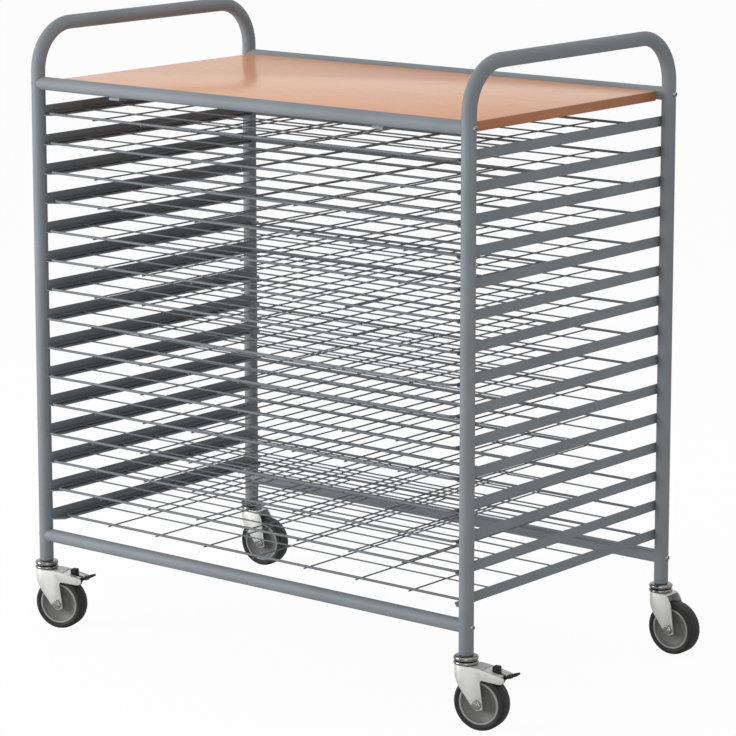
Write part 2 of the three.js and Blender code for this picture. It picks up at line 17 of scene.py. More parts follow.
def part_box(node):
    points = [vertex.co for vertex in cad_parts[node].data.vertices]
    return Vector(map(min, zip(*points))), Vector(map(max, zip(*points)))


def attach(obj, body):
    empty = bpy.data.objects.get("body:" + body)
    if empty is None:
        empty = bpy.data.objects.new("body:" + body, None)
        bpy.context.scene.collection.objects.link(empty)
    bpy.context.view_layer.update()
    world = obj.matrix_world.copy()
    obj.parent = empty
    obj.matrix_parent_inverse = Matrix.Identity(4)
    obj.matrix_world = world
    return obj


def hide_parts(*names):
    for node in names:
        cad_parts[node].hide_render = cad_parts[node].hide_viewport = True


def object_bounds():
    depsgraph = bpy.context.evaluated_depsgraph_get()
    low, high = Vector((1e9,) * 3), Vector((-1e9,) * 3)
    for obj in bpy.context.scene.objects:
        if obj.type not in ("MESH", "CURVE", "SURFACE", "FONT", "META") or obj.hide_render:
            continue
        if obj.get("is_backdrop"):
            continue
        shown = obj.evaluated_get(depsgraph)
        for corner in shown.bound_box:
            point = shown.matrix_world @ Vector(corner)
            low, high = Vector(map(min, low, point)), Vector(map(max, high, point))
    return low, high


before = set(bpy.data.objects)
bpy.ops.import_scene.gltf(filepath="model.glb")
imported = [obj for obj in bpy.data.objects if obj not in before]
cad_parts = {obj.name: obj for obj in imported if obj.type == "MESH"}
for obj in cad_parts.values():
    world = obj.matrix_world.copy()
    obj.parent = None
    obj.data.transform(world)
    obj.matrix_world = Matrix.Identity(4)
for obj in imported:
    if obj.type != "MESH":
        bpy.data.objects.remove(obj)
cad_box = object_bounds()
scene = bpy.context.scene
MM = 0.001

# %% [markdown]
# The frame's measures
#
# Every smooth piece needs the same place as its solid. The places of the posts' feet, the board and the trays
# are read from the boxes of the CAD nodes, so a change to them carries over. The other sizes are the CAD
# model's own, typed in again. The middle of the four posts is the point that they are measured from.

# %% Read the rack's measures
left_low, left_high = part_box("side_frame_left")
_, right_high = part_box("side_frame_right")
MIDDLE = Vector(((left_low.x + right_high.x) / 2, (left_low.y + left_high.y) / 2, 0))
SIDES = {"left": -1, "right": 1}
ENDS = {"front": -1, "rear": 1}
POST_X = 514 * MM
POST_Y = 305.5 * MM
POST_R = 13.5 * MM
POST_FOOT = left_low.z
HANDLE_TOP = 1190 * MM
BEND_R = 88 * MM
print("middle of the posts:", [round(v, 4) for v in MIDDLE], "foot:", round(POST_FOOT, 4))

# %% [markdown]
# Two small helpers
#
# Everything that stands in the scene has to be made and linked, and every node has to be added, set and
# linked. Both take the same few lines each time, so two functions do them. The inputs of a node take a plain
# value, or the output of another node, which is then linked.


# %% Helpers for objects and nodes
def added(name, data):
    """A new object in the scene that holds a mesh, a lamp or a camera."""
    made = bpy.data.objects.new(name, data)
    scene.collection.objects.link(made)
    return made


def add_node(tree, kind, sockets=None, **settings):
    """A new node in a tree, with its inputs given by name or by number."""
    node = tree.nodes.new(kind)
    for label, value in settings.items():
        setattr(node, label, value)
    for label, value in (sockets or {}).items():
        if isinstance(value, bpy.types.NodeSocket):
            tree.links.new(value, node.inputs[label])
        else:
            node.inputs[label].default_value = value
    return node


print("object and node helpers ready")

# %% [markdown]
# The camera
#
# The photograph was taken from the front right corner, from far away with a long lens. Its upright lines are
# almost parallel. Views from other sides keep the lens shift, so it stays small here, and the camera tilts
# down to the rack. The place, the angles and the lens were found by fitting the posts, rails and runners to
# the photograph at that shift.

# %% Put up the camera
CAMERA_OFFSET = Vector((3.97561, -4.86489, 1.83645))
CAMERA_DOWN, CAMERA_TURN = 10.486, 38.938
camera_data = bpy.data.cameras.new("photo_camera")
camera_data.lens = 164.73
camera_data.sensor_width = 36
camera_data.shift_y = -0.1
camera_data.clip_end = 200
camera = added("photo_camera", camera_data)
camera.location = MIDDLE + CAMERA_OFFSET
camera.rotation_euler = (math.radians(90 - CAMERA_DOWN), 0, math.radians(CAMERA_TURN))
scene.camera = camera
scene.view_settings.view_transform = "Standard"
print("camera at", [round(v, 3) for v in camera.location])

# %% [markdown]
# Studio light, floor and background
#
# The photograph has a pure white background. The world is white where the camera or a mirror-like surface
# looks at it, and dimmer as a light, so that it doesn't wash out the paint. Large soft lamps give the
# shading: the strongest stands at the front left, a weak one at the front right, and another hangs above. The
# floor is mostly white to the camera too, and keeps a trace of the shadow.

# %% Light the scene
WORLD_LIGHT = 0.46
LAMP_AIM = Vector((0, 0, 0.6))
world = bpy.data.worlds.new("studio")
world.use_nodes = True
scene.world = world
sky = world.node_tree
ray = add_node(sky, "ShaderNodeLightPath").outputs
mirrored = add_node(sky, "ShaderNodeMath", {0: ray["Is Glossy Ray"], 1: ray["Is Transmission Ray"]},
                    operation="MAXIMUM")
seen = add_node(sky, "ShaderNodeMath", {0: ray["Is Camera Ray"], 1: mirrored.outputs[0]}, operation="MAXIMUM")
strength = add_node(sky, "ShaderNodeMapRange", {
    "Value": seen.outputs[0], "To Min": WORLD_LIGHT, "To Max": 1.0})
background = sky.nodes["Background"]
background.inputs["Color"].default_value = (1, 1, 1, 1)
sky.links.new(strength.outputs["Result"], background.inputs["Strength"])


def soft_lamp(name, place, width, power):
    lamp = bpy.data.lights.new(name, "AREA")
    lamp.shape = "DISK"
    lamp.size = width
    lamp.energy = power
    holder = added(name, lamp)
    holder.location = MIDDLE + Vector(place)
    aim = MIDDLE + LAMP_AIM - holder.location
    holder.rotation_euler = aim.to_track_quat("-Z", "Y").to_euler()
    print(name, "gives", power, "watts")


soft_lamp("key_lamp", (-3.3, -3.4, 1.6), 2.6, 168)
soft_lamp("right_lamp", (3.1, -3.9, 1.5), 3.0, 38)
soft_lamp("top_lamp", (0.2, 0.6, 4.0), 2.6, 28)

# %% Lay the floor
HALF_FLOOR = 60
FLOOR_DROP = 0.5 * MM
GLOW_SHARE = 0.96
floor_mesh = bpy.data.meshes.new("floor")
corners = [(-1, -1), (1, -1), (1, 1), (-1, 1)]
floor_mesh.from_pydata([(x * HALF_FLOOR, y * HALF_FLOOR, 0) for x, y in corners], [], [(0, 1, 2, 3)])
floor = added("floor", floor_mesh)
floor.location.z = -FLOOR_DROP
floor_finish = bpy.data.materials.new("pale_floor")
floor_finish.use_nodes = True
floor_tree = floor_finish.node_tree
floor_shader = floor_tree.nodes["Principled BSDF"]
for label, value in (("Base Color", (0.88, 0.88, 0.88, 1)), ("Roughness", 0.9), ("Specular IOR Level", 0)):
    floor_shader.inputs[label].default_value = value
floor_ray = add_node(floor_tree, "ShaderNodeLightPath").outputs
share = add_node(floor_tree, "ShaderNodeMath", {0: floor_ray["Is Camera Ray"], 1: GLOW_SHARE},
                 operation="MULTIPLY")
glow = add_node(floor_tree, "ShaderNodeEmission")
floor_mix = add_node(floor_tree, "ShaderNodeMixShader", {
    "Fac": share.outputs[0], 1: floor_shader.outputs[0], 2: glow.outputs[0]})
floor_tree.links.new(floor_mix.outputs[0], floor_tree.nodes["Material Output"].inputs["Surface"])
floor_mesh.materials.append(floor_finish)
floor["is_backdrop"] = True
print("floor laid")

# %% [markdown]
# Finishes: the painted steel
#
# The tubes, rails and runners have a blue-grey powder coat, which is slightly rough and slightly mottled,
# with the fine orange-peel skin that such paint dries to. It could be one flat colour, but then it would look
# like plastic. Here one wide noise moves the colour a little, and one fine noise drives the bump and the
# roughness. All finishes read Object coordinates in metres, so a noise scale of 900 gives marks of about a
# millimetre.


# %% Helpers for finishes
NOISE_LOW, NOISE_HIGH = 0.3, 0.7
SOFT_SHINE = 0.25


def linear(*levels):
    """A colour from its 0 to 255 screen levels, as the linear values that shaders use."""
    shares = [level / 255 for level in levels]
    return tuple(v / 12.92 if v <= 0.04045 else ((v + 0.055) / 1.055) ** 2.4 for v in shares) + (1,)


def scaled(colour, share):
    """A colour made darker or lighter."""
    return tuple(v * share for v in colour[:3]) + (1,)


class Finish:
    """A material with its shader, its object coordinates, and short ways to add nodes."""

    def __init__(self, name, roughness, metallic=0.0, specular=0.5):
        self.material = bpy.data.materials.new(name)
        self.material.use_nodes = True
        self.tree = self.material.node_tree
        self.shader = self.tree.nodes["Principled BSDF"]
        self.level("Roughness", roughness)
        self.level("Metallic", metallic)
        self.level("Specular IOR Level", specular)
        self.place = self.add("ShaderNodeTexCoord").outputs["Object"]

    def add(self, kind, sockets=None, **settings):
        return add_node(self.tree, kind, sockets, **settings)

    def level(self, label, value):
        self.shader.inputs[label].default_value = value

    def noise(self, scale, detail, stretch=(1, 1, 1), seed=0.0):
        mapping = self.add("ShaderNodeMapping", {
            "Vector": self.place, "Scale": stretch, "Location": (seed, seed, seed)})
        return self.add("ShaderNodeTexNoise", {
            "Vector": mapping.outputs["Vector"], "Scale": scale, "Detail": detail}).outputs["Fac"]

    def ramp(self, value, dark, light, low=NOISE_LOW, high=NOISE_HIGH):
        ramp = self.add("ShaderNodeValToRGB", {"Fac": value})
        for element, position, colour in zip(ramp.color_ramp.elements, (low, high), (dark, light)):
            element.position = position
            element.color = colour
        return ramp.outputs["Color"]

    def between(self, value, low, high):
        return self.add("ShaderNodeMapRange", {
            "Value": value, "From Min": NOISE_LOW, "From Max": NOISE_HIGH,
            "To Min": low, "To Max": high}).outputs["Result"]

    def blend(self, share, first, second):
        # A Mix node has sockets for every kind of data: inputs 6 and 7 and output 2 are its colours.
        return self.add("ShaderNodeMix", {"Factor": share, 6: first, 7: second}, data_type="RGBA").outputs[2]

    def look(self, colour, rough, height, strength, distance):
        """Links the shader's colour, roughness and bump, and gives the finished material."""
        bump = self.add("ShaderNodeBump", {"Height": height, "Strength": strength, "Distance": distance})
        sources = {"Base Color": colour, "Roughness": rough, "Normal": bump.outputs["Normal"]}
        for label, source in sources.items():
            self.tree.links.new(source, self.shader.inputs[label])
        return self.material


def painted_steel(name, colour, spread):
    finish = Finish(name, 0.56, specular=SOFT_SHINE)
    cloud, fine = finish.noise(7, 4), finish.noise(900, 2, seed=3.1)
    light = scaled(colour, 1 + spread)
    mottled = finish.ramp(cloud, scaled(colour, 1 - spread), light)
    specked = finish.blend(finish.between(fine, 0.0, 0.16), mottled, light)
    return finish.look(specked, finish.between(fine, 0.5, 0.64), fine, 0.12, 0.4 * MM)


FRAME_PAINT = painted_steel("frame_paint", linear(124, 131, 136), 0.1)
WIRE_PAINT = painted_steel("wire_paint", linear(110, 116, 121), 0.12)
print("paints:", FRAME_PAINT.name, WIRE_PAINT.name)

# %% [markdown]
# Finishes: the beech laminate and its edge band
#
# The top is a laminated board with a pale beech print and a darker, redder band glued round its edges. Beech
# has a quiet long grain and many short, thin flecks. A photograph of wood would be the quick way, but the
# lesson keeps to nodes: a noise stretched along the board makes the grain, and a second one, stretched less
# and cut off high, leaves the flecks.

# %% Make the board's finishes
laminate = Finish("beech_laminate", 0.5, specular=0.1)
laminate.level("Coat Weight", 0.6)
laminate.level("Coat Roughness", 0.19)
grain = laminate.noise(34, 5, stretch=(0.06, 1, 1))
fleck = laminate.noise(420, 2, stretch=(0.09, 1, 1), seed=7.7)
plank = laminate.noise(3.2, 1, stretch=(0.25, 1, 1), seed=2.2)
warm = laminate.ramp(grain, linear(218, 150, 101), linear(228, 161, 110))
shaded = laminate.blend(laminate.between(plank, 0, 0.35), warm, linear(214, 145, 96))
flecked = laminate.ramp(fleck, (0, 0, 0, 1), (0.5, 0.5, 0.5, 1), 0.57, 0.66)
wood = laminate.blend(flecked, shaded, linear(192, 122, 79))
LAMINATE = laminate.look(wood, laminate.between(grain, 0.44, 0.56), fleck, 0.08, 0.3 * MM)

band = Finish("edge_band", 0.45)
band_grain = band.noise(60, 5, stretch=(0.08, 0.08, 1))
band_brown = band.ramp(band_grain, linear(164, 104, 66), linear(188, 123, 82))
EDGE_BAND = band.look(band_brown, band.between(band_grain, 0.38, 0.52), band_grain, 0.1, 0.3 * MM)
print("board finishes:", LAMINATE.name, EDGE_BAND.name)

# %% [markdown]
# Finishes: the castors and the fasteners
#
# The bearing cups are bright chrome, the forks and bolts are zinc plated, the wheels are grey plastic with a
# dark grey rubber tyre, and the brake is black plastic. The chrome still gets a dark colour: a painted dark
# reflection, which stands in for dark surroundings mirrored in it. Zinc plating is cloudy: its gloss changes
# over a few millimetres. Rubber is dull with a fine grain. Each gets the noise that shows this, and no more.
# The top plates of the forks get a paler zinc: a painted reflection of the bright surroundings that their
# upturned faces mirror, which makes them brighter than the cheeks.


# %% Make the metals
def plated(name, colour, low, high, cloud_scale, metal=1.0):
    finish = Finish(name, (low + high) / 2, metal)
    cloud, fine = finish.noise(cloud_scale, 4), finish.noise(1400, 2, seed=5.3)
    clouded = finish.ramp(cloud, scaled(colour, 0.93), colour)
    return finish.look(clouded, finish.between(cloud, low, high), fine, 0.04, 0.2 * MM)


ZINC = plated("zinc_plating", linear(203, 203, 199), 0.4, 0.5, 110, 0.5)
# A paler copy of the zinc for the forks' top plates: a painted reflection of the bright surroundings.
ZINC_WITH_PAINTED_REFLECTION = plated("zinc_with_painted_reflection", linear(238, 238, 235), 0.34, 0.44, 110, 0.5)
# This chrome is darker than real chrome: a painted dark reflection of dark surroundings, with the lamps
# giving its highlights.
CHROME_WITH_PAINTED_DARK_REFLECTION = plated("chrome_with_painted_dark_reflection", linear(130, 130, 129), 0.04, 0.09, 60)
DULL_ZINC = plated("dull_zinc", linear(150, 150, 147), 0.14, 0.24, 140)
BOLT_STEEL = plated("bolt_steel", linear(150, 155, 161), 0.16, 0.28, 140)
print("metals:", [metal.name for metal in (ZINC, ZINC_WITH_PAINTED_REFLECTION, CHROME_WITH_PAINTED_DARK_REFLECTION, DULL_ZINC, BOLT_STEEL)])


# %% Make the plastics and the rubber
def moulded(name, dark, light, rough_low, rough_high, grain_scale, grain_depth):
    finish = Finish(name, (rough_low + rough_high) / 2, specular=SOFT_SHINE)
    cloud, fine = finish.noise(60, 4), finish.noise(grain_scale, 2, seed=1.7)
    rough = finish.between(fine, rough_low, rough_high)
    return finish.look(finish.ramp(cloud, dark, light), rough, fine, 0.15, grain_depth)


HUB_GREY = moulded("hub_grey", linear(96, 96, 95), linear(107, 107, 105), 0.4, 0.55, 1600, 0.2 * MM)
HUB_RIM = moulded("hub_rim", linear(140, 140, 138), linear(152, 152, 149), 0.4, 0.52, 1600, 0.2 * MM)
TYRE_GREY = moulded("tyre_grey", linear(34, 34, 33), linear(42, 42, 41), 0.46, 0.62, 1200, 0.3 * MM)
BRAKE_BLACK = moulded("brake_black", linear(13, 13, 13), linear(20, 20, 20), 0.42, 0.6, 1500, 0.2 * MM)
print("plastics:", [plastic.name for plastic in (HUB_GREY, HUB_RIM, TYRE_GREY, BRAKE_BLACK)])

# %% [markdown]
# Helpers for meshes
#
# Three ways of making a mesh cover most of the rack: a ring carried along a path makes a tube, a profile
# turned about an axis makes a wheel or a cup, and a flat outline given a thickness makes a plate. Each helper
# returns a plain mesh with its place in its points, because every finished piece sits at the origin.


# %% Mesh helpers
def mesh_from(name, build):
    work = bmesh.new()
    build(work)
    bmesh.ops.recalc_face_normals(work, faces=work.faces)
    mesh = bpy.data.meshes.new(name)
    work.to_mesh(mesh)
    work.free()
    return mesh


def circle(sides):
    """The angles of points spread evenly round a circle."""
    return [2 * math.pi * i / sides for i in range(sides)]


def skin(work, rings):
    """Faces between each ring of points and the next. A point that a ring repeats makes triangles."""
    for ring, following in zip(rings, rings[1:]):
        for i in range(len(ring)):
            j = (i + 1) % len(ring)
            face = dict.fromkeys((ring[i], ring[j], following[j], following[i]))
            if len(face) > 2:
                work.faces.new(list(face))


def tube_along(name, stations, sides):
    """A closed round bar through stations of (point, direction, radius)."""

    def build(work):
        rings = []
        across = stations[0][1].orthogonal()
        for point, direction, radius in stations:
            across = (across - direction * across.dot(direction)).normalized()
            other = direction.cross(across)
            rings.append([work.verts.new(point + radius * (math.cos(a) * across + math.sin(a) * other))
                          for a in circle(sides)])
        skin(work, rings)
        work.faces.new(list(reversed(rings[0])))
        work.faces.new(rings[-1])

    return mesh_from(name, build)


def turned(name, profile, sides, closed=False):
    """A profile of (radius, height) turned about Z. A closed profile makes a ring."""

    def build(work):
        rings = []
        for radius, height in profile:
            if radius == 0:
                rings.append([work.verts.new((0, 0, height))] * sides)
            else:
                rings.append([work.verts.new((radius * math.cos(a), radius * math.sin(a), height))
                              for a in circle(sides)])
        skin(work, rings + rings[:1] if closed else rings)

    return mesh_from(name, build)


def plate(name, outline, thickness, upright=False):
    """A flat outline given a thickness, centred on it. Upright plates stand in the X and Z plane."""

    def build(work):
        layers = [[work.verts.new((x, level, y) if upright else (x, y, level)) for x, y in outline]
                  for level in (-thickness / 2, thickness / 2)]
        for layer in layers:
            work.faces.new(layer)
        skin(work, layers)

    return mesh_from(name, build)


print("mesh helpers ready")


# %% Outlines and finishes of meshes
def arc(middle, radius, start, end, steps):
    """Points on an arc, with its angles in degrees."""
    angles = [math.radians(start + (end - start) * i / steps) for i in range(steps + 1)]
    return [(middle[0] + radius * math.cos(a), middle[1] + radius * math.sin(a)) for a in angles]


def rectangle(low, high, half):
    return [(low, -half), (high, -half), (high, half), (low, half)]


def in_mm(points):
    return [(a * MM, b * MM) for a, b in points]


def coated(mesh, *finishes):
    """The mesh with these finishes in place of its own."""
    mesh.materials.clear()
    for finish in finishes:
        mesh.materials.append(finish)
    return mesh


def joined(name, meshes):
    """One mesh from several, with their materials kept."""
    work = bmesh.new()
    finishes = list(dict.fromkeys(material for mesh in meshes for material in mesh.materials))
    for mesh in meshes:
        start = len(work.faces)
        work.from_mesh(mesh)
        work.faces.ensure_lookup_table()
        places = [finishes.index(material) for material in mesh.materials] or [0]
        for face in work.faces[start:]:
            face.material_index = places[min(face.material_index, len(places) - 1)]
    whole = bpy.data.meshes.new(name)
    work.to_mesh(whole)
    work.free()
    for finish in finishes:
        whole.materials.append(finish)
    return whole


print("outline and finish helpers ready")

# %% [markdown]
# Finishing a piece
#
# Every piece ends the same way: its flat faces stay flat and its round faces are smoothed, it takes a
# finish, it rides on the CAD body that carries it, and it hides the solid that it stands for. One function
# does all of this, so no piece can miss a step. A second one rounds sharp edges with a Bevel modifier first,
# and a third cuts one shape by another with a Boolean.


# %% Piece helpers
def evaluated_mesh(holder):
    graph = bpy.context.evaluated_depsgraph_get()
    mesh = bpy.data.meshes.new_from_object(holder.evaluated_get(graph), depsgraph=graph)
    bpy.data.objects.remove(holder)
    return mesh


def rounded(mesh, width, segments=2, angle=35):
    holder = added("holder", mesh)
    bevel = holder.modifiers.new("edges", "BEVEL")
    bevel.width = width
    bevel.segments = segments
    bevel.limit_method = "ANGLE"
    bevel.angle_limit = math.radians(angle)
    return evaluated_mesh(holder)


def combined(first, second, operation):
    holder, tool = added("holder", first), added("tool", second)
    boolean = holder.modifiers.new("combine", "BOOLEAN")
    boolean.operation = operation
    boolean.solver = "EXACT"
    boolean.object = tool
    mesh = evaluated_mesh(holder)
    bpy.data.objects.remove(tool)
    return mesh


def piece(name, mesh, body, nodes, finish=None, smooth=38, place=Matrix.Identity(4)):
    mesh.transform(place)
    if finish is not None:
        coated(mesh, finish)
    mesh.polygons.foreach_set("use_smooth", [True] * len(mesh.polygons))
    mesh.set_sharp_from_angle(angle=math.radians(smooth))
    mesh.update()
    obj = added(name, mesh)
    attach(obj, body)
    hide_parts(*nodes)


print("piece helpers ready")

# %% [markdown]
# Helpers for Geometry Nodes
#
# What repeats is best made by a node tree: the tree says the rule, and its inputs say the sizes. The helpers
# make a tree with named inputs, add nodes with their links in one line, and turn the grown result into a
# plain mesh. An input of the modifier is set by the identifier of its socket, not by its name.


# %% Tree helpers
class Tree:
    """A geometry node tree with named inputs."""

    KINDS = {"whole": "Int", "length": "Float", "finish": "Material", "object": "Object"}

    def __init__(self, name, **inputs):
        self.group = bpy.data.node_groups.new(name, "GeometryNodeTree")
        face = self.group.interface
        face.new_socket(name="Geometry", in_out="INPUT", socket_type="NodeSocketGeometry")
        self.identifiers = {}
        for label, kind in inputs.items():
            made = face.new_socket(name=label, in_out="INPUT", socket_type="NodeSocket" + self.KINDS[kind])
            self.identifiers[label] = made.identifier
        face.new_socket(name="Geometry", in_out="OUTPUT", socket_type="NodeSocketGeometry")
        self.inlet = self.group.nodes.new("NodeGroupInput")
        self.outlet = self.group.nodes.new("NodeGroupOutput")

    def get(self, label):
        return self.inlet.outputs[label]

    def node(self, kind, sockets=None, output=0, **settings):
        """The output of a new node."""
        return add_node(self.group, kind, sockets, **settings).outputs[output]

    def sum(self, operation, first, second):
        return self.node("ShaderNodeMath", {0: first, 1: second}, operation=operation)

    def vector(self, x=0.0, y=0.0, z=0.0):
        return self.node("ShaderNodeCombineXYZ", {"X": x, "Y": y, "Z": z})

    def copies(self, points, sample, **sockets):
        return self.node("GeometryNodeInstanceOnPoints", {"Points": points, "Instance": sample, **sockets})

    def finish(self, *parts):
        whole = add_node(self.group, "GeometryNodeJoinGeometry")
        for part in parts:
            self.group.links.new(part, whole.inputs[0])
        solid = self.node("GeometryNodeRealizeInstances", {"Geometry": whole.outputs[0]})
        coat = self.node("GeometryNodeSetMaterial", {"Geometry": solid, "Material": self.get("finish")})
        self.group.links.new(coat, self.outlet.inputs[0])

    def grow(self, name, mesh, **values):
        holder = added(name, mesh)
        modifier = holder.modifiers.new("grow", "NODES")
        modifier.node_group = self.group
        for label, value in values.items():
            modifier[self.identifiers[label]] = value
        grown = evaluated_mesh(holder)
        grown.name = name
        return grown


print("tree helpers ready")

# %% [markdown]
# Trees: a stack and a set of fasteners
#
# The runners repeat straight up at one pitch, so their tree puts copies of one runner on a line of points.
# Bolts, screws and weld beads sit at given points and face given ways. Their tree reads the points from a
# mesh, reads each point's way from an attribute, and turns the copy to it.

# %% Build the two trees
stack = Tree("stack_of_levels", count="whole", pitch="length", finish="finish")
levels = stack.node("GeometryNodeMeshLine", {
    "Count": stack.get("count"), "Offset": stack.vector(z=stack.get("pitch"))})
stack.finish(stack.copies(levels, stack.get("Geometry")))

fasteners = Tree("set_of_fasteners", fastener="object", finish="finish")
facing = fasteners.node("GeometryNodeInputNamedAttribute", {"Name": "facing"}, data_type="FLOAT_VECTOR")
aimed = fasteners.node("FunctionNodeAlignRotationToVector", {"Vector": facing}, axis="Z")
shown = fasteners.node("GeometryNodeObjectInfo", {"Object": fasteners.get("fastener")}, "Geometry")
fasteners.finish(fasteners.copies(fasteners.get("Geometry"), shown, Rotation=aimed))


def fastened(name, sample, spots, finish):
    """Copies of a sample mesh at spots of (point, way), as one mesh."""
    points = bpy.data.meshes.new(name)
    points.from_pydata([spot for spot, _ in spots], [], [])
    ways = points.attributes.new("facing", "FLOAT_VECTOR", "POINT")
    for item, (_, way) in zip(ways.data, spots):
        item.vector = way
    model = added("sample", sample)
    grown = fasteners.grow(name, points, fastener=model, finish=finish)
    bpy.data.objects.remove(model)
    return grown


print("trees:", stack.group.name, fasteners.group.name)

# %% [markdown]
# The bent tube of a side frame
#
# Each side frame is one length of 27 mm tube, bent twice at the top so that it makes a push handle. A curve
# with a round bevel would do, but carrying a ring along stations keeps the straight runs in one piece and the
# bends even. The last millimetres of each foot turn in a little, where the cut end is dressed.

# %% Side tubes
BEND_STEPS = 14
TUBE_SIDES, RING_SIDES, WHEEL_SIDES, ROD_SIDES = 32, 64, 96, 24
UP, BACK = Vector((0, 0, 1)), Vector((0, 1, 0))
FOOT_EDGE = [(0.0, POST_R - 1.2 * MM), (0.8 * MM, POST_R - 0.3 * MM), (2.0 * MM, POST_R)]


def frame_stations(x):
    bend_height = HANDLE_TOP - POST_R - BEND_R
    bend_y = POST_Y - BEND_R
    stations = [(Vector((x, -POST_Y, POST_FOOT + rise)), UP, radius) for rise, radius in FOOT_EDGE]
    for middle, first in ((-bend_y, 0), (bend_y, 90)):
        for i in range(BEND_STEPS + 1):
            a = math.radians(first + 90 * i / BEND_STEPS)
            point = Vector((x, middle - BEND_R * math.cos(a), bend_height + BEND_R * math.sin(a)))
            stations.append((point, UP * math.cos(a) + BACK * math.sin(a), POST_R))
    stations += [(Vector((x, POST_Y, POST_FOOT + rise)), -UP, radius) for rise, radius in reversed(FOOT_EDGE)]
    return stations


side_tubes = {side: tube_along(f"side_tube_{side}", frame_stations(sign * POST_X), TUBE_SIDES)
              for side, sign in SIDES.items()}
print("side tubes:", {side: len(mesh.polygons) for side, mesh in side_tubes.items()})

# %% [markdown]
# The runners
#
# A runner is a strip of sheet folded to an angle. Its upright leg is welded to the insides of the posts and
# its flange, with both inner corners cut off, carries the trays. The section is drawn once with the small
# radius of the fold, as pairs of an outer and an inner point. Each pair also knows where the strip ends,
# which gives the cut corners. The stack tree then makes all fifteen levels.

# %% One runner and its stack
LEVELS = 15
LOWEST = 215.5 * MM
PITCH = 56.4 * MM
LEG, FLANGE, SHEET, CORNER = 20 * MM, 25 * MM, 2 * MM, 17 * MM
FOLD_R = 3.2 * MM
RUNNER_OUT = POST_X - POST_R * math.cos(math.pi / 12) + 0.6 * MM
RUNNER_END = POST_Y + 2.5 * MM


def runner_mesh():
    pairs = [((0, LEG), (SHEET, LEG))]
    pairs += zip(*(arc((FOLD_R, FOLD_R), radius, 180, 270, 5) for radius in (FOLD_R, FOLD_R - SHEET)))
    for reach in (FLANGE - CORNER, FLANGE):
        pairs.append(((reach, 0), (reach, SHEET)))

    def build(work):
        rows = []
        for pair in pairs:
            row = []
            for across, up in pair:
                end = RUNNER_END - max(0, across - (FLANGE - CORNER))
                row.append([work.verts.new((-RUNNER_OUT + across, y, LOWEST + up)) for y in (-end, end)])
            rows.append(row)
        for row, following in zip(rows, rows[1:]):
            for face in (0, 1):
                work.faces.new((row[face][0], row[face][1], following[face][1], following[face][0]))
            for end in (0, 1):
                work.faces.new((row[0][end], row[1][end], following[1][end], following[0][end]))
        for row in (rows[0], rows[-1]):
            work.faces.new((row[0][0], row[0][1], row[1][1], row[1][0]))

    return mesh_from("runner", build)


def mirrored_mesh(mesh):
    copy = mesh.copy()
    copy.transform(Matrix.Scale(-1, 4, (1, 0, 0)))
    copy.flip_normals()
    return copy


left_runner = rounded(runner_mesh(), 0.35 * MM, segments=1, angle=50)
samples = {"left": left_runner.copy(), "right": mirrored_mesh(left_runner)}
runners = {side: stack.grow(f"runners_{side}", sample, count=LEVELS, pitch=PITCH, finish=FRAME_PAINT)
           for side, sample in samples.items()}
print("runner stacks:", {side: len(mesh.polygons) for side, mesh in runners.items()})

# %% [markdown]
# Weld beads
#
# At each end a runner's leg touches the round post along one line, and a short weld bead joins them there,
# painted over with the rest. A bead is a small lumpy drop, so the sample is a ball stretched upright and
# dented by a fixed wave.

# %% Beads and the finished side frames
BEAD_X, BEAD_Y, BEAD_Z = 1.5 * MM, 2.4 * MM, 6 * MM
BEAD_INSET, BEAD_RISE = 4.6 * MM, 7.5 * MM


def bead_mesh():
    def build(work):
        bmesh.ops.create_icosphere(work, subdivisions=2, radius=1)
        for vert in work.verts:
            x, y, z = vert.co
            ripple = 1 + 0.12 * math.sin(5 * z + 2 * x)
            vert.co = (x * BEAD_X * ripple, y * BEAD_Y * ripple, z * BEAD_Z)

    return mesh_from("bead", build)


def bead_spots(sign):
    return [(Vector((sign * RUNNER_OUT, end * (POST_Y - BEAD_INSET), LOWEST + level * PITCH + BEAD_RISE)), UP)
            for level in range(LEVELS) for end in ENDS.values()]


for side, sign in SIDES.items():
    beads = fastened(f"beads_{side}", bead_mesh(), bead_spots(sign), FRAME_PAINT)
    tube = coated(side_tubes[side], FRAME_PAINT)
    whole = joined(f"side_frame_{side}_smooth", [tube, runners[side], beads])
    piece(f"side_frame_{side}_smooth", whole, "rack", [f"side_frame_{side}"],
          place=Matrix.Translation(MIDDLE))
print("side frames finished")

# %% [markdown]
# The cross rails
#
# Four straight tubes tie the side frames together. Their ends are cut to fit round the posts, which can't be
# seen, so the smooth tubes simply run into the posts. Each top rail has two flat lugs welded under it that
# carry the board.

# %% Rails and lugs
RAIL_R = 12.5 * MM
RAIL_REACH = POST_X - 6 * MM
RAIL_HEIGHT = {"top": 1067 * MM, "bottom": 183 * MM}
LUG_X = 315 * MM
LUG_TOP, LUG_SHEET = -13.3 * MM, 5 * MM
ALONG = Vector((1, 0, 0))


def rail_mesh():
    return tube_along("rail", [(ALONG * x, ALONG, RAIL_R) for x in (-RAIL_REACH, RAIL_REACH)], TUBE_SIDES)


def lug_mesh(x, inward):
    half, tip, corner = 13 * MM, 34 * MM, 5 * MM
    outline = [(-half, -3 * MM), (half, -3 * MM)]
    outline += arc((half - corner, tip - corner), corner, 0, 90, 4)
    outline += arc((-half + corner, tip - corner), corner, 90, 180, 4)
    flat = plate("lug", outline, LUG_SHEET)
    turn = Matrix.Rotation(0 if inward > 0 else math.pi, 4, "Z")
    flat.transform(Matrix.Translation((x, 0, LUG_TOP - LUG_SHEET / 2)) @ turn)
    bead = [(-half, 1), (1 * MM - half, 2.2), (half - 1 * MM, 2.2), (half, 1)]
    bead_height = (LUG_TOP - RAIL_R) / 2
    stations = [(Vector((x + shift, 0, bead_height)), ALONG, radius * MM) for shift, radius in bead]
    return joined("lug", [rounded(flat, 0.6 * MM), tube_along("bead", stations, 16)])


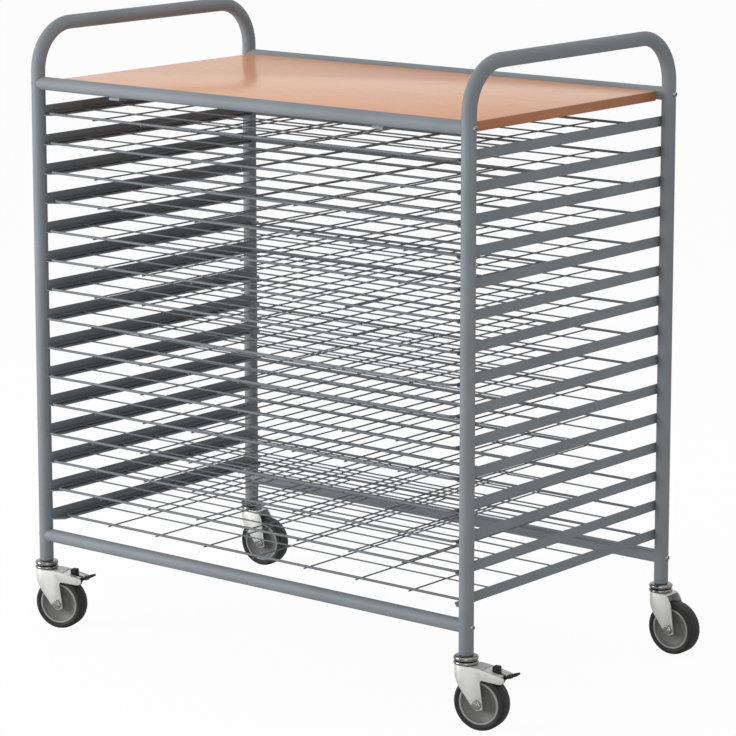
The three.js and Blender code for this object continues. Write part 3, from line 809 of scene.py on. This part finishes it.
for level, height in RAIL_HEIGHT.items():
    for end, sign in ENDS.items():
        parts = [rail_mesh()]
        if level == "top":
            parts += [lug_mesh(x, -sign) for x in (-LUG_X, LUG_X)]
        place = Matrix.Translation(MIDDLE + Vector((0, sign * POST_Y, height)))
        piece(f"rail_{level}_{end}_smooth", joined("rail", parts), "rack", [f"rail_{level}_{end}"],
              FRAME_PAINT, place=place)
print("rails finished")

# %% [markdown]
# The frame bolts
#
# One button-head bolt goes through each post into the end of a rail. Its head is a low dome with a hexagon
# socket. The dome is turned from a profile whose inner ring follows the hexagon, and the socket drops from
# that ring. The fastener tree sets all eight of them on the outsides of the posts.


# %% Bolts
BOLT_SEAT = POST_X + POST_R - 0.9 * MM


def button_head(radius, height, socket, depth, sides=48):
    lip, edge = socket * 1.3, height * 0.25
    dome = [(radius, 0.0)]
    for i in range(7):
        a = math.pi / 2 * i / 6
        dome.append((radius - (radius - lip) * (1 - math.cos(a)), edge + (height - edge) * math.sin(a)))

    def hexagon_reach(a):
        return socket * math.cos(math.pi / 6) / math.cos(a % (math.pi / 3) - math.pi / 6)

    def build(work):
        rings = [[(reach, a, level) for a in circle(sides)] for reach, level in dome]
        rings += [[(hexagon_reach(a), a, level) for a in circle(sides)] for level in (height, height - depth)]
        rows = [[work.verts.new((r * math.cos(a), r * math.sin(a), level)) for r, a, level in ring]
                for ring in rings]
        skin(work, rows)
        work.faces.new(rows[-1])
        work.faces.new(list(reversed(rows[0])))

    return mesh_from("button_head", build)


bolt_spots, bolt_nodes = [], []
for level, height in RAIL_HEIGHT.items():
    for end, end_sign in ENDS.items():
        for side, sign in SIDES.items():
            bolt_spots.append((MIDDLE + Vector((sign * BOLT_SEAT, end_sign * POST_Y, height)), ALONG * sign))
            bolt_nodes.append(f"bolt_{level}_{end}_{side}")
bolts = fastened("frame_bolts", button_head(5.6 * MM, 3.8 * MM, 2.3 * MM, 2 * MM), bolt_spots, BOLT_STEEL)
piece("frame_bolts", bolts, "rack", bolt_nodes)
print("bolts:", len(bolt_spots))

# %% [markdown]
# The top board
#
# The board lies between the rails on the four lugs. It is a slab with slightly eased edges, laminate on its
# two faces and a glued band round its four edges. The slab is made as a box, its edges are eased with a
# bevel, and each face then takes the finish that its direction calls for.

# %% Board and its screws
LEVEL_FACE = 0.9
SCREW_Y = POST_Y - 25 * MM
SCREW_Z = RAIL_HEIGHT["top"] + LUG_TOP - 5.2 * MM
board_low, board_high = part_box("top_board")
board_size = board_high - board_low
half_x, half_y = board_size.x / 2, board_size.y / 2
board = plate("top_board_smooth", rectangle(-half_x, half_x, half_y), board_size.z)
board = coated(rounded(board, 1.1 * MM, segments=3), LAMINATE, EDGE_BAND)
for face in board.polygons:
    face.material_index = 0 if abs(face.normal.z) > LEVEL_FACE else 1
piece("top_board_smooth", board, "rack", ["top_board"],
      place=Matrix.Translation((board_low + board_high) / 2))

screw_spots = [(MIDDLE + Vector((side * LUG_X, end * SCREW_Y, SCREW_Z)), -UP)
               for end in ENDS.values() for side in SIDES.values()]
screw_nodes = [f"board_screw_{i + 1}" for i in range(len(screw_spots))]
screws = fastened("board_screws", button_head(4 * MM, 2.4 * MM, 1.6 * MM, 1.2 * MM, 24), screw_spots, ZINC)
piece("board_screws", screws, "rack", screw_nodes)
print("board:", [round(v, 3) for v in board_size], "screws:", len(screw_spots))

# %% [markdown]
# The wire trays
#
# A tray is a grid of welded wire: a thick border wire bent round, five long wires in its plane, and seven
# short wires under it whose ends stand out a little at the front and the back. All fifteen are the same, and
# the shape follows a rule, so one tree grows it from named sizes. The border is a rectangle with filleted
# corners and a round section, the wires are lines copied along the tray, and a small nugget marks each weld.

# %% Build the tray tree
TRAY_LENGTHS = ("width", "depth", "border", "wire", "corner", "stub", "drop")
tray = Tree("wire_tray", **dict.fromkeys(TRAY_LENGTHS, "length"),
            short_wires="whole", long_wires="whole", finish="finish")
width, depth, wire, drop = (tray.get(label) for label in ("width", "depth", "wire", "drop"))
short_wires, long_wires = tray.get("short_wires"), tray.get("long_wires")
rim = tray.node("GeometryNodeCurvePrimitiveQuadrilateral", {"Width": width, "Height": depth})
bent = tray.node("GeometryNodeFilletCurve", {"Curve": rim, "Radius": tray.get("corner"), "Count": 6},
                 mode="POLY")
thick = tray.node("GeometryNodeCurvePrimitiveCircle", {"Resolution": 12, "Radius": tray.get("border")})
thin = tray.node("GeometryNodeCurvePrimitiveCircle", {"Resolution": 8, "Radius": wire})
border = tray.node("GeometryNodeCurveToMesh", {"Curve": bent, "Profile Curve": thick})


def spread_wires(count, span, reach, along, across, level):
    """Straight wires along one axis of the tray, set out evenly over a span of the other."""
    gap = tray.sum("DIVIDE", span, tray.sum("ADD", count, 1.0))
    first = tray.sum("SUBTRACT", gap, tray.sum("MULTIPLY", span, 0.5))
    back = tray.sum("MULTIPLY", reach, -1.0)
    line = tray.node("GeometryNodeCurvePrimitiveLine", {
        "Start": tray.vector(**{along: back}), "End": tray.vector(**{along: reach})})
    bar = tray.node("GeometryNodeCurveToMesh", {"Curve": line, "Profile Curve": thin, "Fill Caps": True})
    row = tray.node("GeometryNodeMeshLine", {
        "Count": count, "Start Location": tray.vector(**{across: first, "z": level}),
        "Offset": tray.vector(**{across: gap})})
    return tray.copies(row, bar), gap


half_width, half_depth = (tray.sum("MULTIPLY", size, 0.5) for size in (width, depth))
short_reach = tray.sum("ADD", half_depth, tray.get("stub"))
short, short_gap = spread_wires(short_wires, width, short_reach, "y", "x", drop)
long, long_gap = spread_wires(long_wires, depth, half_width, "x", "y", 0.0)
print("tray wires wired")


# %% Weld nuggets of a tray, and its output
def nuggets(columns, rows, size_x, size_y, level, stretch):
    """A small flat drop at each crossing of a grid of wires."""
    grid = tray.node("GeometryNodeMeshGrid", {
        "Vertices X": columns, "Vertices Y": rows, "Size X": size_x, "Size Y": size_y})
    lifted = tray.node("GeometryNodeTransform", {"Geometry": grid, "Translation": tray.vector(z=level)})
    ball = tray.node("GeometryNodeMeshIcoSphere", {"Radius": wire, "Subdivisions": 2})
    return tray.copies(lifted, ball, Scale=stretch)


inner_x = tray.sum("SUBTRACT", width, tray.sum("MULTIPLY", short_gap, 2.0))
inner_y = tray.sum("SUBTRACT", depth, tray.sum("MULTIPLY", long_gap, 2.0))
weld_level = tray.sum("MULTIPLY", drop, 0.5)
crossings = nuggets(short_wires, long_wires, inner_x, inner_y, weld_level, (1.25, 1.25, 0.75))
ends = nuggets(short_wires, 2, inner_x, depth, weld_level, (1.2, 1.7, 0.9))
butts = nuggets(2, long_wires, width, inner_y, 0.0, (2.0, 1.25, 1.25))
tray.finish(border, short, long, crossings, ends, butts)
print("tray tree:", len(tray.group.nodes), "nodes")

# %% [markdown]
# Fifteen trays
#
# The trays lie loose, so in the photograph each has been pushed in by a different amount. Where each one lies
# is read from the box of its solid, so the smooth tray is sure to lie on its runners. Every tray is its own
# body, because each slides by itself.

# %% Lay the trays
STUB = 3 * MM
BORDER_R, WIRE_R = 2.5 * MM, 1.5 * MM
WELD_SINK = 1.05 * MM
AXIS_DROP = 2.4 * MM
tray_low, tray_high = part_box("tray_01")
tray_size = tray_high - tray_low
grown_tray = tray.grow(
    "tray", bpy.data.meshes.new("seed"), width=tray_size.x - 2 * BORDER_R,
    depth=tray_size.y - 2 * STUB - 2 * BORDER_R, border=BORDER_R, wire=WIRE_R, corner=14 * MM,
    stub=STUB + BORDER_R, drop=WELD_SINK - BORDER_R - WIRE_R, short_wires=7, long_wires=5, finish=WIRE_PAINT)
for level in range(1, LEVELS + 1):
    node = f"tray_{level:02d}"
    low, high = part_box(node)
    place = Matrix.Translation(((low.x + high.x) / 2, (low.y + high.y) / 2, high.z - AXIS_DROP))
    piece(f"{node}_wires", grown_tray.copy(), node, [node], place=place)
print("trays:", LEVELS, "with", len(grown_tray.polygons), "faces each")

# %% [markdown]
# Castor heads
#
# Each castor plugs into the foot of a post. What shows is a bright bearing cup with a rolled rim, and under
# it the crown ring that turns with the fork. Both are turned pieces. All castors are drawn once, with the
# swivel axis on Z and the wheel trailing along X, and then turned and set under their posts.

# %% Castor places and heads
CASTOR_TURNS = {"front_left": 16, "front_right": 10, "rear_left": 8, "rear_right": 0}
BRAKED = ("front_left", "front_right")
TRAIL, AXLE = 32 * MM, 50 * MM
CROWN_UNDER, CROWN_TOP = 113.5 * MM, 122.4 * MM
CROWN_R = 22.5 * MM


def castor_place(name):
    x = -POST_X if "left" in name else POST_X
    y = -POST_Y if "front" in name else POST_Y
    return Matrix.Translation(MIDDLE + Vector((x, y, 0))) @ Matrix.Rotation(
        math.radians(CASTOR_TURNS[name]), 4, "Z")


def head_mesh():
    low, high = CROWN_TOP + 0.3 * MM, POST_FOOT - 0.2 * MM
    roll = (high - low) / 2
    pin = [(0, -2.9), (8.7, -2.9), (9.5, -2.2), (9.5, -0.4), (6, -0.4)]
    collar = [(2.6, 0), (1.6, 0.5), (-1, 0.5), (-2, 3)]
    profile = [(r * MM, CROWN_UNDER + z * MM) for r, z in pin] + [(6 * MM, low)]
    profile += arc((CROWN_R - roll, low + roll), roll, -90, 90, 10)
    profile += [(POST_R + r * MM, high + z * MM) for r, z in collar] + [(0, high + 3 * MM)]
    return turned("castor_head", profile, RING_SIDES)


for name in CASTOR_TURNS:
    # The cups take the darkened chrome, a painted dark reflection.
    piece(f"castor_{name}_cup", head_mesh(), "rack", [f"castor_{name}_head"], CHROME_WITH_PAINTED_DARK_REFLECTION,
          place=castor_place(name))
print("castor heads:", len(CASTOR_TURNS))

# %% [markdown]
# Castor forks
#
# A fork is pressed from zinc-plated sheet: a rounded nose under the crown ring that runs back into two flat
# cheeks, which narrow down to the axle. On the front castors the cheeks also reach back as two arms that hold
# the brake. The pressing is the space where the cheek's side outline and the fork's plan meet, less the
# space inside, so it is made with Booleans, and the sheet's edges are rounded afterwards.

# %% Fork outlines
FORK_OUT, FORK_IN, FORK_SHEET = 20.5 * MM, 18 * MM, 2.5 * MM
CHEEK_FACE = FORK_OUT - 0.05 * MM
PIN_REACH, PIN_ANGLE = 63.8 * MM, math.radians(48.8)
PIN_X = TRAIL + PIN_REACH * math.cos(PIN_ANGLE)
PIN_Z = AXLE + PIN_REACH * math.sin(PIN_ANGLE)
FAR = 400 * MM


def bent_line(start, control, end, steps):
    """Points on a curve that leaves start towards control and arrives at end."""
    points = []
    for i in range(1, steps + 1):
        t = i / steps
        points.append(tuple((1 - t) ** 2 * a + 2 * t * (1 - t) * b + t ** 2 * c
                            for a, b, c in zip(start, control, end)))
    return points


CROWN_EDGE = (CROWN_R * 0.95, CROWN_UNDER + FORK_SHEET)
ARM_TIP = (PIN_X + 10 * MM, PIN_Z + 6 * MM)
ARM_EDGE = [CROWN_EDGE] + bent_line(CROWN_EDGE, (38 * MM, CROWN_EDGE[1] - 0.4 * MM), ARM_TIP, 12)


def cheek_outline(braked):
    foot = 11 * MM
    top = CROWN_UNDER + FORK_SHEET
    shoulder = (-FORK_OUT, CROWN_UNDER - 7.5 * MM)
    throat = (-FORK_OUT / 4, AXLE + 29.8 * MM)
    outline = [(-FORK_OUT, top), shoulder]
    outline += bent_line(shoulder, (-FORK_OUT * 0.7, AXLE + 40 * MM), throat, 8)
    outline += arc((TRAIL, AXLE), foot, 214, 300, 10)
    outline += arc((TRAIL + foot - 4 * MM, AXLE - 6 * MM), 4 * MM, 320, 360, 4)
    notch = (TRAIL + foot * 0.4, AXLE + 45 * MM)
    if braked:
        into = (notch[0] + 0.8 * MM, notch[1] - 6 * MM)
        low, tip = (PIN_X - 2 * MM, PIN_Z - 5.2 * MM), (PIN_X + 10.4 * MM, PIN_Z + 1 * MM)
        outline += [into] + bent_line(into, notch, (notch[0] + 6 * MM, notch[1] - 0.2 * MM), 5)
        outline += [low] + bent_line(low, (PIN_X + 8 * MM, PIN_Z - 6 * MM), tip, 6)
        outline += reversed(ARM_EDGE)
    else:
        outline += [notch]
        outline += bent_line(notch, (CROWN_R * 1.35, top - 3 * MM), CROWN_EDGE, 5)
    return outline


def fork_plan(half):
    return [(FAR / 2, -half), (FAR / 2, half)] + arc((0, 0), half, 90, 270, 24)


print("cheek outlines:", len(cheek_outline(True)), len(cheek_outline(False)), "points")


# %% Press the forks
def fork_mesh(braked):
    blank = plate("fork", cheek_outline(braked), 4 * FORK_OUT, upright=True)
    outside = plate("outside", fork_plan(FORK_OUT), FAR)
    inside = plate("inside", fork_plan(FORK_IN), 2 * CROWN_UNDER)
    pressed = combined(combined(blank, outside, "INTERSECT"), inside, "DIFFERENCE")
    pressed = coated(rounded(pressed, 0.7 * MM, angle=50), ZINC)
    bore = 6.4 * MM
    ring_low, ring_high = CROWN_UNDER + FORK_SHEET - 0.4 * MM, CROWN_TOP
    roll = (ring_high - ring_low) / 2
    ring = [(bore, ring_low), (CROWN_R - roll, ring_low)]
    ring += arc((CROWN_R - roll, ring_low + roll), roll, -80, 80, 8)
    ring += [(CROWN_R - roll, ring_high), (bore, ring_high)]
    # The crown ring takes the darkened chrome, a painted dark reflection.
    return joined("fork", [pressed, coated(turned("crown_ring", ring, RING_SIDES, closed=True), CHROME_WITH_PAINTED_DARK_REFLECTION)])


fork_meshes = {True: fork_mesh(True), False: fork_mesh(False)}
print("fork faces:", {braked: len(mesh.polygons) for braked, mesh in fork_meshes.items()})

# %% [markdown]
# Details of the forks
#
# Between the arms of a braked fork the sheet runs on as a sloping top plate, set a little below the arms'
# upper edges, with a slot that the brake comes up through. Each cheek also has a round punch mark. The plate
# is an upright outline with the slot cut out of it, wide in front and narrower behind, and the mark is a low
# ring that sits on the sheet.

# %% Add the details and finish the forks
SLOT = [(54.2, 67.8, 6.8), (62, 77.6, 4.4)]
PLATE_START, PLATE_SUNK = 16 * MM, 0.9 * MM
MARK_RING = [(2.0, 0), (2.3, 0.5), (2.9, 0.5), (3.2, 0)]
MARK_X, MARK_Z = 30 * MM, 107 * MM


def top_plate():
    upper = [(x, z - PLATE_SUNK) for x, z in [(PLATE_START, CROWN_EDGE[1])] + ARM_EDGE[:-1]]
    lower = [(x, z - FORK_SHEET) for x, z in reversed(upper)]
    sheet = plate("top_plate", upper + lower, 2 * FORK_IN + 0.8 * MM, upright=True)
    for start, end, half in SLOT:
        sheet = combined(sheet, plate("slot", in_mm(rectangle(start, end, half)), FAR), "DIFFERENCE")
    # The top plate takes the paler zinc, a painted reflection of the bright surroundings.
    return coated(sheet, ZINC_WITH_PAINTED_REFLECTION)


def punch_mark(sign):
    mark = turned("mark", in_mm(MARK_RING), ROD_SIDES, closed=True)
    mark.transform(Matrix.Translation((MARK_X, sign * CHEEK_FACE, MARK_Z))
                   @ Matrix.Rotation(-sign * math.pi / 2, 4, "X"))
    return coated(mark, ZINC)


for name in CASTOR_TURNS:
    braked = name in BRAKED
    parts = [fork_meshes[braked]]
    if braked:
        parts += [top_plate(), punch_mark(-1), punch_mark(1)]
    piece(f"castor_{name}_pressing", joined("fork", parts), f"fork_{name}", [f"castor_{name}_fork"],
          place=castor_place(name))
print("forks finished")

# %% [markdown]
# Wheels
#
# A wheel has a grey plastic hub and a dark rubber tyre. The hub's face is a shallow dish between a raised rim
# and a boss round the axle. Both are turned about the axle, from profiles with rounded corners. The tyre's
# shoulders are rounded, and a fine line along the middle of the tread is left by its mould.


# %% Hubs and tyres
def laid_over(mesh):
    """Turns a piece made about Z so that its axis is the axle."""
    mesh.transform(Matrix.Translation((TRAIL, 0, AXLE)) @ Matrix.Rotation(math.pi / 2, 4, "X"))
    return mesh


def both_sides(side):
    """A ring's whole profile, from the half of it on one side of the wheel."""
    return in_mm(side + [(r, -z) for r, z in reversed(side)])


RIM_START = 35.2 * MM


def hub_mesh():
    side = [(5.3, 17.5), (9.2, 17.5), (10, 16.9), (10.5, 14), (11.6, 9.6), (13.4, 7.4), (17, 6.6), (23, 7.2),
            (29, 9), (33, 11.2), (34.6, 12.6), (35.4, 13.8), (36.4, 14.3), (38.2, 14.3), (39, 13.6)]
    hub = coated(turned("hub", both_sides(side), WHEEL_SIDES, closed=True), HUB_GREY, HUB_RIM)
    for face in hub.polygons:
        face.material_index = 1 if face.center.xy.length > RIM_START else 0
    return laid_over(hub)


def tyre_mesh():
    side = [(39.2, 12), (39.4, 13.7), (40.4, 14.6), (42, 15.2), (44.4, 15.5), (46.4, 15.2), (48, 14.3),
            (49.2, 12.8), (49.8, 10.8), (50, 8), (50, 0.7), (50.15, 0.35)]
    return laid_over(turned("tyre", both_sides(side), WHEEL_SIDES, closed=True))


for name in CASTOR_TURNS:
    place = castor_place(name)
    piece(f"castor_{name}_hub_smooth", hub_mesh(), f"wheel_{name}", [f"castor_{name}_hub"],
          smooth=50, place=place)
    piece(f"castor_{name}_tyre_smooth", tyre_mesh(), f"wheel_{name}", [f"castor_{name}_tyre"],
          TYRE_GREY, smooth=50, place=place)
print("wheels:", len(CASTOR_TURNS))

# %% [markdown]
# Axles
#
# A hexagon bolt goes through the cheeks and the hub, and a nut holds it on the other side. A hexagon with a
# chamfer is the shape that a round cone cuts from a six-sided bar, so a six-sided turned piece with small
# steps at its ends is close enough. A thin washer lies under each.


# %% Bolts, nuts and washers of the axles
AXLE_R, WASHER = 5 * MM, 1 * MM
THREAD_PITCH = 0.62


def hexagon(height, across, chamfer):
    corner = across / 2 / math.cos(math.pi / 6)
    profile = [(0, 0), (corner, 0), (corner, height - chamfer), (corner - 1.6 * chamfer, height), (0, height)]
    return turned("hexagon", profile, 6)


def axle_end(with_thread):
    washer = turned("washer", in_mm([(0, 0), (9, 0), (9, 0.7), (8.6, 1), (0, 1)]), 40)
    nut = rounded(hexagon(5.2 * MM, 16 * MM, 0.9 * MM), 0.3 * MM, angle=20)
    nut.transform(Matrix.Translation((0, 0, WASHER)))
    if with_thread:
        profile = [(0, 0), (5, 0)]
        for turn in range(4):
            profile += [(5, 6.2 + turn * THREAD_PITCH), (4.6, 6.5 + turn * THREAD_PITCH)]
        bar = turned("thread", in_mm(profile + [(4.2, 8.8), (0, 8.8)]), ROD_SIDES)
    else:
        bar = tube_along("shank", [(UP * z, UP, AXLE_R) for z in (-2 * FORK_OUT, 0)], ROD_SIDES)
    return joined("axle_end", [washer, nut, bar])


for name in CASTOR_TURNS:
    for node, sign in (("axle_nut", -1), ("axle_bolt", 1)):
        turn = Matrix.Rotation(-sign * math.pi / 2, 4, "X")
        seat = Matrix.Translation((TRAIL, sign * CHEEK_FACE, AXLE))
        piece(f"castor_{name}_{node}_smooth", axle_end(node == "axle_nut"), f"fork_{name}",
              [f"castor_{name}_{node}"], DULL_ZINC, smooth=30,
              place=castor_place(name) @ seat @ turn)
print("axles finished")

# %% [markdown]
# Brake rockers
#
# Each front castor has a black plastic rocker between the arms of its fork. Its shoe hangs over the tyre, a
# square release block comes up through the slot of the top plate, and a narrow strip lies behind the block. A
# neck carries the tread, which has grip ribs and reaches out past the arms. Each of these is a side outline
# with its own width and its own rounding, drawn in millimetres about the steel pin that the rocker turns on.
# The ribs come from the fastener tree.

# %% Rockers
SHOE = [(-15, 2), (-12, -1), (-8, -8.5), (-3.5, -11), (-0.5, -9), (2.2, -3), (2.2, 2), (0, 4)]
BLOCK = [(-19, 3), (-6.8, 3), (-6.8, 21), (-7.8, 22), (-18, 22), (-19, 21)]
STRIP = [(-8, 0), (3.2, 0), (3.2, 4.8), (-8, 7.4)]
NECK = [(0, -1), (6.5, 0), (9.4, 4.4), (8.6, 6.6), (7.6, 6.4), (5.5, 2.6), (0, 2)]
TREAD = [(8, 2), (29.6, 10.6), (28.4, 14.5), (7.2, 6.4)]
ROCKER = [(SHOE, 10, 0.8), (BLOCK, 12.6, 0.8), (STRIP, 8, 0.5), (NECK, 8, 0.5), (TREAD, 16, 0.7)]
RIBS, RIB_START, RIB_PITCH, RIB_SUNK = 4, 4 * MM, 4.4 * MM, 0.1 * MM
BRAKE_PIN = Vector((PIN_X, 0, PIN_Z))
BRAKE_PIN_R = 2.5 * MM


def rocker_part(outline, width, edge):
    outline = [(PIN_X + x * MM, PIN_Z + z * MM) for x, z in outline]
    shape = plate("rocker", outline, width * MM, upright=True)
    return coated(rounded(shape, edge * MM, segments=3, angle=20), BRAKE_BLACK)


def grip_ribs():
    tip, root = (Vector((x, 0, z)) for x, z in in_mm(TREAD[2:]))
    slope = (tip - root).normalized()
    lift = Vector((-slope.z, 0, slope.x))
    rib = rounded(plate("grip", rectangle(-1, 1, 6.5), 1.8), 0.4)
    rib.transform(Matrix.Scale(MM, 4))
    first = BRAKE_PIN + root - UP * RIB_SUNK
    spots = [(first + slope * (RIB_START + RIB_PITCH * i), lift) for i in range(RIBS)]
    return fastened("grips", rib, spots, BRAKE_BLACK)


def rocker_mesh():
    reach = BACK * (FORK_OUT + 0.6 * MM)
    pin = tube_along("pin", [(end, BACK, BRAKE_PIN_R) for end in (BRAKE_PIN - reach, BRAKE_PIN + reach)], 20)
    return joined("rocker", [rocker_part(*part) for part in ROCKER] + [grip_ribs(), coated(pin, ZINC)])


for name in BRAKED:
    piece(f"castor_{name}_rocker", rocker_mesh(), f"brake_{name}", [f"castor_{name}_brake"],
          place=castor_place(name))
print("rockers:", len(BRAKED))

# %% [markdown]
# Sizes and the end
#
# The smooth rack has to keep the CAD model's size.

# %% Compare the boxes and finish
new_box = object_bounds()
growth = (new_box[1] - new_box[0]) - (cad_box[1] - cad_box[0])
print("box grew by", [round(v / MM, 2) for v in growth], "mm")
